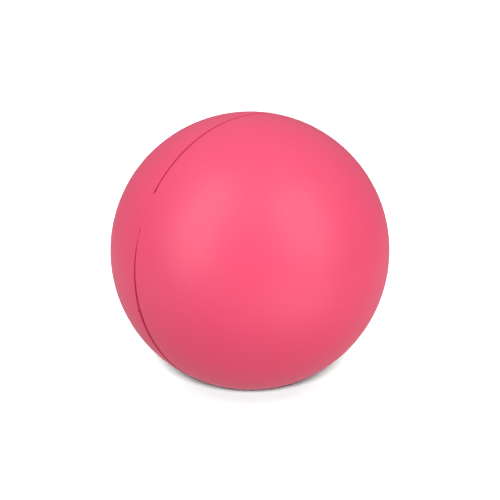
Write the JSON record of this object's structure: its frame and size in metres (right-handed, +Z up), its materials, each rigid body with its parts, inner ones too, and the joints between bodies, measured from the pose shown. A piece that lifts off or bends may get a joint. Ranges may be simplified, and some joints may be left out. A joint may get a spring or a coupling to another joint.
{
  "type": "stress ball",
  "caption": "Squeezable round foam ball with a moulded skin in two halves, a foam core and a fine parting crease, for one hand to squeeze.",
  "frame": {"origin": "centre of the ball", "axes": "+Z up from the rest flat; X along the direction in which the mould opened and in which the ball is squeezed, with the front skin towards +X; the parting line is the great circle in the plane X = 0"},
  "size_m": [0.063, 0.063, 0.0628],
  "materials": {
    "front_skin": "satin",
    "rear_skin": "satin",
    "foam_core": "matte",
    "parting_flash": "matte"
  },
  "bodies": {
    "core": {"foam_core": "foam_core", "parting_flash": "parting_flash"},
    "front_half": {"front_skin": "front_skin"},
    "rear_half": {"rear_skin": "rear_skin"}
  },
  "joints": [
    {"name": "squeeze_front", "type": "slide", "parent": "core", "child": "front_half", "axis": [-1, 0, 0], "range_m": [0, 0.014], "stiffness_N_per_m": 5000, "deforming": ["front_skin", "foam_core", "parting_flash"]},
    {"name": "squeeze_rear", "type": "slide", "parent": "core", "child": "rear_half", "axis": [1, 0, 0], "range_m": [0, 0.014], "stiffness_N_per_m": 5000, "deforming": ["rear_skin"]}
  ],
  "couplings": [
    {"joint": "squeeze_rear", "follows": "squeeze_front", "ratio": 1}
  ]
}
